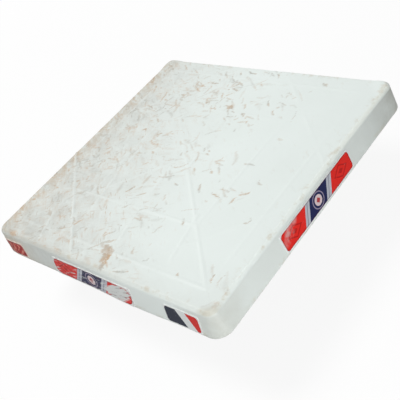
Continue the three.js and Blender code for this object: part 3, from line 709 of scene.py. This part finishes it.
greyer = add(tree, "MapRange", kinds, 0.4, 0.62)
clay_hue = mixed(tree, greyer, "#C5A584", "#B2AFA6")
for share, colour in ((grimy, "#C8BCA4"), (rubbed_off, "#F4FBF8"), (clay, clay_hue)):
    look = mixed(tree, share, look, colour)
matt = add(tree, "MapRange", clay, To_Min=0.5, To_Max=0.8)
grain = noise(tree, place, 1.6, Detail=3.0)
relief = add(tree, "Bump", Height=grain, Strength=0.15, Distance=0.2 * MM)
fill(surface, Base_Color=look, IOR=1.5, Roughness=matt, Normal=relief)

cover = made_with(
    mould, "white_cover", shell, Ridges=ridges, Material=white_rubber, Large_Scuffs=scuff_plans[0],
    Small_Scuffs=scuff_plans[1], Smudges=scuff_plans[2], Scuff_Depth=SCUFF_DEPTH * MM,
    Scuff_Fraying=SCUFF_FRAYING * MM, Ridge_Width=RIDGE_WIDTH * MM, Ridge_Crest=RIDGE_CREST * MM,
    Top=TOP * MM, Cavity=[2 * CAVITY_HALF * MM, 2 * CAVITY_HALF * MM, CEILING * MM],
    Hollow=[size * MM for size in HOLLOW_SIZE], Hollow_Reach=HOLLOW_REACH * MM,
    Hollow_Pitch=2 * CAVITY_HALF / HOLLOWS_PER_SIDE * MM, Hollows=HOLLOWS_PER_SIDE,
    Unevenness=UNEVENNESS * MM)
for plan in (ridges, *scuff_plans):
    bpy.data.objects.remove(plan)
cover.data.shade_smooth()
cover.data.set_sharp_from_angle(angle=math.radians(40))
on_base(cover, "white_rubber", "cover")


# Stanchion: a square steel tube welded to a plate, galvanised, which drops into a sleeve in the ground.
# The plate is bolted under the centre plate.
TUBE_EDGE = 0.6
POST_WELD = 2.0
POST_WELD_GAP = 0.6  # from the middle of the bead to the plate, and to the tube

dressed("post_plate", CUT_EDGE, galvanised_steel, "galvanised_steel", "stanchion_plate")
dressed("post", TUBE_EDGE, galvanised_steel, "galvanised_steel", "stanchion_post")

post_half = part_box("stanchion_post")[1].x / MM
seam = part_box("stanchion_plate")[0].z / MM - POST_WELD_GAP
out = post_half + POST_WELD_GAP
welded("post_welds", [((out, -post_half, seam), (out, post_half, seam))], POST_WELD)


# Bolts, washers and nuts: four sets of zinc-plated steel that hold the stanchion to the frame.
# Each bolt is put in from below, with a flat washer, a spring washer and a nut above.
HARDWARE_EDGE = 0.4

# Zinc-plated steel: brighter and smoother than the dipped frame, with a faint bluish cast.
zinc_plated_steel, tree, surface = new_material("zinc_plated_steel")
place = add(tree, "TexCoord").outputs["Object"]
wipe = noise(tree, place, 4, Detail=4.0)
plate = mixed(tree, wipe, "#B4B9BB", "#D3D6D2")
gloss = add(tree, "MapRange", wipe, To_Min=0.2, To_Max=0.42)
fill(surface, Base_Color=plate, Metallic=1.0, Roughness=gloss)

for kind in ("bolt", "flat_washer", "lock_washer", "nut"):
    dressed(f"{kind}s", HARDWARE_EDGE, zinc_plated_steel, "zinc_plated_steel",
            *[f"stanchion_{kind}_{side}" for side in SIDES])


# Side strips: printed vinyl, die-cut and stuck to the middle of each side, with a white margin round the
# print. The front one was stuck on lower and off the middle, and slides have worn its right-hand end down
# to white.
STRIP = (141.0, 25.5)  # length and height
STRIP_RISE = 2.4
FRONT_STRIP_RISE = 0.3
FRONT_STRIP_SHIFT = -4.5
LABEL_CORNER = 3.0
LABEL_THICKNESS = 0.45
LABEL_BEVEL = 0.15
LABEL_STEPS = 16  # places from a label's middle to its round corners where it can bend
VINYL_SPECULAR = 0.12
MARGIN = 1.5
PRINT_CORNER = 4.0
WORN_CORNER = 9.0
PRINT_SLANT = 0.58  # sideways for each millimetre up
BAND_ENDS = (-26.5, -22.8, -21.6, -17.5, 17.5, 21.6, 22.8, 27.5)  # across the slant
DISC_RADIUS = 6.4
RING_RADIUS = 9.6
RING_WIDTH = 1.3
DIAMOND_REACH = 3.6
PANEL_MIDDLE = 48.0
PANEL_FLATNESS = 0.62  # of the diamonds on the red panels: height for each millimetre of length
PANEL_DIAMOND = 7.6
PANEL_LINE = 1.0  # half the width of its outline
PANEL_CORE = 3.0
WORN_PATCH = (46.0, -0.5, 22.0, 9.0, 14)  # patch rubbed bare: middle, half lengths and turn in degrees
PALE_END = (-53.0, 5.5, 17.0, 6.5, 31)  # the same for the end paled by a pinkish haze


def label(name, material, slot, node, side, centre, rise, size, skew=0.0, tilt=0.0):
    """A thin label with round corners that follows a leaning side, and the base's corner where it reaches
    past it. Skew is sideways for each millimetre up, tilt is up for each millimetre along. The print map is
    in metres from the label's middle."""
    length, height = size
    run = length / 2 - LABEL_CORNER
    turns = np.radians(np.linspace(0, 90, 7))[1:]
    reach = np.concatenate([np.linspace(0, run, LABEL_STEPS), run + LABEL_CORNER * np.sin(turns)])
    tall = np.concatenate([np.full(LABEL_STEPS, height / 2), height / 2 - LABEL_CORNER * (1 - np.cos(turns))])
    along = np.concatenate([-reach[:0:-1], reach])
    tall = np.concatenate([tall[:0:-1], tall])
    outline = np.concatenate([np.column_stack([along, -tall]), np.column_stack([along, tall])[::-1]])
    inset = outline * (1 - 2 * LABEL_BEVEL / np.array(size))
    count = len(outline)
    rings = ((outline, 0.0), (outline, LABEL_THICKNESS - LABEL_BEVEL), (inset, LABEL_THICKNESS))
    spots = [(u, v, out) for ring, out in rings for u, v in ring]
    top = 2 * count
    faces = [[top + k, top + k + 1, top + count - 2 - k, top + count - 1 - k] for k in range(len(along) - 1)]
    for low in (0, count):
        for k in range(count):
            after = (k + 1) % count
            faces.append([low + k, low + after, low + count + after, low + count + k])
    turned = Matrix.Rotation(side * math.pi / 2, 3, "Z")
    lean, up = math.sin(DRAFT), math.cos(DRAFT)
    where = []
    for u, v, out in spots:
        level = (v + tilt * u + rise + height / 2) * up
        radius = FOOT_CORNER + (EDGE_CORNER - FOOT_CORNER) * level / crease
        straight_end = FOOT_HALF - level * math.tan(DRAFT) - radius
        x = u + skew * v + centre
        turn = max(0, -straight_end - x) / radius
        outwards = Vector((-math.sin(turn), -math.cos(turn), 0))
        spot = turned @ (Vector((max(x, -straight_end), -straight_end, level)) + outwards * radius)
        spot.x, spot.y = in_use(spot.x, spot.y, level)
        where.append((spot + turned @ outwards * out * up + Vector((0, 0, out * lean))) * MM)
    mesh = bpy.data.meshes.new(name)
    mesh.from_pydata(where, [], faces)
    mesh.materials.append(material)
    chart = mesh.uv_layers.new(name="print")
    for loop in mesh.loops:
        chart.data[loop.index].uv = [way * MM for way in spots[loop.vertex_index][:2]]
    mesh.shade_smooth()
    mesh.set_sharp_from_angle(angle=math.radians(20))
    on_base(in_scene(name, mesh), slot, node)


def with_margin(tree, chart, look, label_size, radius, bare, line):
    """A print with round corners, the bare vinyl of the margin round it, and a dark line of some strength
    along the print's edge."""
    size = add(tree, "VectorMath", chart, operation="ABSOLUTE")
    middles = [(side / 2 - MARGIN - radius) * MM for side in label_size]
    past_middles = add(tree, "VectorMath", size, (*middles, 0), operation="SUBTRACT")
    corner = add(tree, "VectorMath", past_middles, (0, 0, 0), operation="MAXIMUM")
    away = add(tree, "VectorMath", corner, operation="LENGTH")
    past_print = add(tree, "SUBTRACT", away, radius * MM)
    at_edge = add(tree, "MapRange", past_print, -1.8 * MM, -0.3 * MM, To_Max=line)
    on_margin = add(tree, "GREATER_THAN", past_print, 0.0)
    for share, colour in ((at_edge, "#451219"), (on_margin, bare)):
        look = mixed(tree, share, look, colour)
    return look


def strip_print(name, red, dark_red, blue, radius, wear, patch, haze):
    """The strips' vinyl: slanting bands of red, silver and dark blue, with plain discs and diamonds printed
    on them. The print's corners have a radius and wear lays it bare in streaks. The last two are the shares
    of ink rubbed off at the right-hand end and of a pinkish haze that pales the left-hand end."""
    material, tree, surface = new_material(name)
    chart = add(tree, "UVMap", uv_map="print")
    x, y = add(tree, "SeparateXYZ", chart).outputs[:2]
    across = add(tree, "MULTIPLY_ADD", y, -PRINT_SLANT, x)
    size = add(tree, "VectorMath", chart, operation="ABSOLUTE")
    size_x, size_y = add(tree, "SeparateXYZ", size).outputs[:2]
    away = add(tree, "VectorMath", chart, operation="LENGTH")
    on_ring = add(tree, "COMPARE", away, RING_RADIUS * MM, RING_WIDTH / 2 * MM)
    in_disc = add(tree, "LESS_THAN", away, DISC_RADIUS * MM)
    reach = add(tree, "ADD", size_x, size_y)
    in_diamond = add(tree, "LESS_THAN", reach, DIAMOND_REACH * MM)
    from_panel = add(tree, "SUBTRACT", size_x, PANEL_MIDDLE * MM)
    sideways = add(tree, "ABSOLUTE", from_panel)
    panel_reach = add(tree, "MULTIPLY_ADD", sideways, PANEL_FLATNESS, size_y)
    on_panel = add(tree, "COMPARE", panel_reach, PANEL_DIAMOND * MM, PANEL_LINE * MM)
    in_panel = add(tree, "LESS_THAN", panel_reach, PANEL_CORE * MM)
    silver = ("#BFC2CC", "#8D909C", "#C4C7D0")
    look = red
    layers = []
    for end, ink in zip(BAND_ENDS, (*silver, blue, *silver, red)):
        layers.append((add(tree, "GREATER_THAN", across, end * MM), ink))
    layers += [(on_ring, "#9A8FA6"), (in_disc, "#E2CFD2"), (in_diamond, "#B4474B")]
    layers += [(on_panel, dark_red), (in_panel, dark_red)]
    for mask, ink in layers:
        look = mixed(tree, mask, look, ink)
    look = with_margin(tree, chart, look, STRIP, radius, "#EEF0EF", 0.5)
    streaks = streaked(tree, chart, 12, (15, 3.2, 1), Detail=5.0, Roughness=0.65)
    rubs = []
    for (x, y, half_x, half_y, turn), most in ((WORN_PATCH, patch), (PALE_END, haze)):
        placed = add(
            tree, "Mapping", Vector=chart, Location=(x * MM, y * MM, 0), Rotation=(0, 0, math.radians(turn)),
            Scale=(half_x * MM, half_y * MM, 1), vector_type="TEXTURE")
        away = add(tree, "VectorMath", placed, operation="LENGTH")
        rubs.append(add(tree, "MapRange", away, 1.25, 0.7, To_Max=most))
    total = add(tree, "ADD", streaks, rubs[0])
    bare = add(tree, "MapRange", total, 0.66 - wear, 0.78 - wear)
    place = add(tree, "TexCoord").outputs["Object"]
    cloud = noise(tree, place, 12, Detail=4.0, Roughness=0.6)
    cloudy = add(tree, "MapRange", cloud, 0.4, 0.62)
    hazy = add(tree, "MULTIPLY", rubs[1], cloudy)
    grime = add(tree, "MapRange", streaks, 0.47, 0.33, To_Max=4.5 * wear)
    for share, colour in ((hazy, "#D9CFCC"), (bare, "#E3E6E4"), (grime, "#55201D")):
        look = mixed(tree, share, look, colour)
    gloss = add(tree, "MapRange", bare, To_Min=0.45, To_Max=0.65)
    fill(surface, Base_Color=look, Roughness=gloss, Specular_IOR_Level=VINYL_SPECULAR)
    return material


# Printed vinyl: smooth and satin, in flat inks. The front one shows white where its ink is rubbed off.
strip_vinyl = strip_print("printed_vinyl", "#EA2C24", "#C41D19", "#151D4C", PRINT_CORNER, 0.0, 0.0, 0.55)
worn_vinyl = strip_print("worn_printed_vinyl", "#E02F29", "#B5201C", "#1A2045", WORN_CORNER, 0.12, 0.32, 0.0)
label("strip_front", worn_vinyl, "printed_vinyl", "side_strip_front", 0, FRONT_STRIP_SHIFT, FRONT_STRIP_RISE,
      STRIP)
for number, side in enumerate(SIDES[1:], start=1):
    label(f"strip_{side}", strip_vinyl, "printed_vinyl", f"side_strip_{side}", number, 0, STRIP_RISE, STRIP)


# Corner label: a small red vinyl label, stuck on at the left end of the front so that it bends round the
# corner. It is rubbed dull and streaky, most where the corner turns, and its margin has yellowed.
CORNER_LABEL = (51.0, 21.0)
CORNER_LABEL_MIDDLE = -161.0
CORNER_LABEL_RISE = 1.7
CORNER_LABEL_SKEW = -0.25
CORNER_LABEL_TILT = 0.045

# Red vinyl: satin, in one ink that is streaked dark with grime and pale with wear.
red_vinyl, tree, surface = new_material("red_vinyl")
chart = add(tree, "UVMap", uv_map="print")
streaks = streaked(tree, chart, 62, (9, 4, 1), Detail=5.0, Roughness=0.65)
sideways = add(tree, "SeparateXYZ", chart).outputs["X"]
look = "#701715"
for follows, start, end, most, colour in (
        (streaks, 0.38, 0.51, 1.0, "#C0332E"), (streaks, 0.51, 0.64, 1.0, "#E5A893"),
        (sideways, 8 * MM, -14 * MM, 0.4, "#A5877A")):
    share = add(tree, "MapRange", follows, start, end, To_Max=most)
    look = mixed(tree, share, look, colour)
look = with_margin(tree, chart, look, CORNER_LABEL, PRINT_CORNER, "#E6D3C8", 0.5)
fill(surface, Base_Color=look, Roughness=0.5, Specular_IOR_Level=VINYL_SPECULAR)

label("label_corner", red_vinyl, "printed_vinyl", "corner_label", 0, CORNER_LABEL_MIDDLE, CORNER_LABEL_RISE,
      CORNER_LABEL, CORNER_LABEL_SKEW, CORNER_LABEL_TILT)


# End label: a piece of printed vinyl, die-cut and stuck to the right end of the front. Its print is slanting
# bands of dark blue, white and red inside a white margin, a little rubbed.
END_LABEL = (49.5, 24.0)
END_LABEL_MIDDLE = 140.25
END_LABEL_RISE = 1.5
END_BANDS = (-1.5, 12.0)

# Dark vinyl: satin, in flat inks with small pale rubs.
dark_vinyl, tree, surface = new_material("dark_vinyl")
chart = add(tree, "UVMap", uv_map="print")
x, y = add(tree, "SeparateXYZ", chart).outputs[:2]
across = add(tree, "MULTIPLY_ADD", y, PRINT_SLANT, x)
look = "#232837"
for end, ink in zip(END_BANDS, ("#E6EAE9", "#D22F2B")):
    past_end = add(tree, "GREATER_THAN", across, end * MM)
    look = mixed(tree, past_end, look, ink)
look = with_margin(tree, chart, look, END_LABEL, PRINT_CORNER, "#E9ECEB", 0.0)
rubs = noise(tree, chart, 4, Detail=5.0, Roughness=0.7)
bare = add(tree, "MapRange", rubs, 0.6, 0.75, To_Max=0.5)
look = mixed(tree, bare, look, "#C9CDCE")
fill(surface, Base_Color=look, Roughness=0.5, Specular_IOR_Level=VINYL_SPECULAR)

label("label_end", dark_vinyl, "dark_vinyl", "end_label", 0, END_LABEL_MIDDLE, END_LABEL_RISE, END_LABEL)


# Stage: a pale floor just under the post, a white surround and four soft lamps, none of them part of the
# base. The camera stands where the photograph was taken from, as worked out from the base's outline in it.
FLOOR_HALF = 12.0  # in metres
FLOOR_GAP = 0.5
CAMERA_PLACE = (596.7, -417.8, 529.06)
CAMERA_HEADING = 55.591
CAMERA_DIP = 37.669
CAMERA_ROLL = -26.510
FOCAL_LENGTH = 64.23
SENSOR_WIDTH = 36.0

floor_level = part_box("stanchion_post")[0].z - FLOOR_GAP * MM
floor_mesh = bpy.data.meshes.new("floor")
low, high = -FLOOR_HALF, FLOOR_HALF
floor_corners = [(x, y, floor_level) for x, y in ((low, low), (high, low), (high, high), (low, high))]
floor_mesh.from_pydata(floor_corners, [], [(0, 1, 2, 3)])
floor = in_scene("floor", floor_mesh)


def seen_directly(tree):
    """1 for what the camera, a reflection or glass sees, and 0 for what light bounces off."""
    rays = add(tree, "LightPath").outputs
    seen = add(tree, "MAXIMUM", rays["Is Camera Ray"], rays["Is Glossy Ray"])
    return add(tree, "MAXIMUM", seen, rays["Is Transmission Ray"])


# Pale floor: seen almost white with a soft shadow, wholly white farther off, and dimmer to the light that it
# throws back at the sides. From below it is clear, so that the underside can be looked at.
pale_floor, tree, surface = new_material("pale_floor")
seen = seen_directly(tree)
tone = mixed(tree, seen, "#6E6F6F", "#F8F8F8")
fill(surface, Base_Color=tone, Roughness=0.9)
white = add(tree, "Emission", Color="#FFFFFF")
from_middle = add(tree, "VectorMath", add(tree, "TexCoord").outputs["Object"], operation="LENGTH")
whiteness = add(tree, "MapRange", from_middle, 0.4, 1.5, To_Min=0.9)
share = add(tree, "MULTIPLY", seen, whiteness)
paled = add(tree, "MixShader", share, surface, white)
clear = add(tree, "BsdfTransparent")
from_below = add(tree, "NewGeometry").outputs["Backfacing"]
fill(tree.nodes["Material Output"], Surface=add(tree, "MixShader", from_below, paled, clear))
floor_mesh.materials.append(pale_floor)

world = bpy.data.worlds.new("white_surround")
world.use_nodes = True
bpy.context.scene.world = world
tree = world.node_tree
level = add(tree, "MapRange", seen_directly(tree), To_Min=0.25)
fill(tree.nodes["Background"], Color="#FFFFFF", Strength=level)

for name, place, size, power, mirrored in (
        ("overhead_softbox", (-0.62, -0.37, 2.08), (0.8, 0.8), 35.5, True),
        ("right_strip_light", (1.05, -0.5, 0.01), (0.4, 0.05), 5.6, True),
        ("front_strip_light", (0.3, -1.2, 0.01), (0.4, 0.05), 0.95, True),
        ("under_fill", (0, 0, floor_level + 3 * MM), (0.46, 0.46), 0.5, False)):
    light = bpy.data.lights.new(name, "AREA")
    light.shape = "RECTANGLE"
    light.size, light.size_y = size
    light.energy = power
    lamp = in_scene(name, light)
    lamp.location = place
    lamp.rotation_euler = (-lamp.location).to_track_quat("-Z", "Y").to_euler()
    lamp.visible_camera = False
    lamp.visible_glossy = mirrored

lens = bpy.data.cameras.new("camera")
lens.lens = FOCAL_LENGTH
lens.sensor_width = SENSOR_WIDTH
lens.clip_start = 0.01
camera = in_scene("camera", lens)
stand = Matrix.Translation(Vector(CAMERA_PLACE) * MM)
for angle, axis in ((CAMERA_HEADING, "Z"), (90 - CAMERA_DIP, "X"), (CAMERA_ROLL, "Z")):
    stand = stand @ Matrix.Rotation(math.radians(angle), 4, axis)
camera.matrix_world = stand
bpy.context.scene.camera = camera
bpy.context.scene.view_settings.view_transform = "Standard"
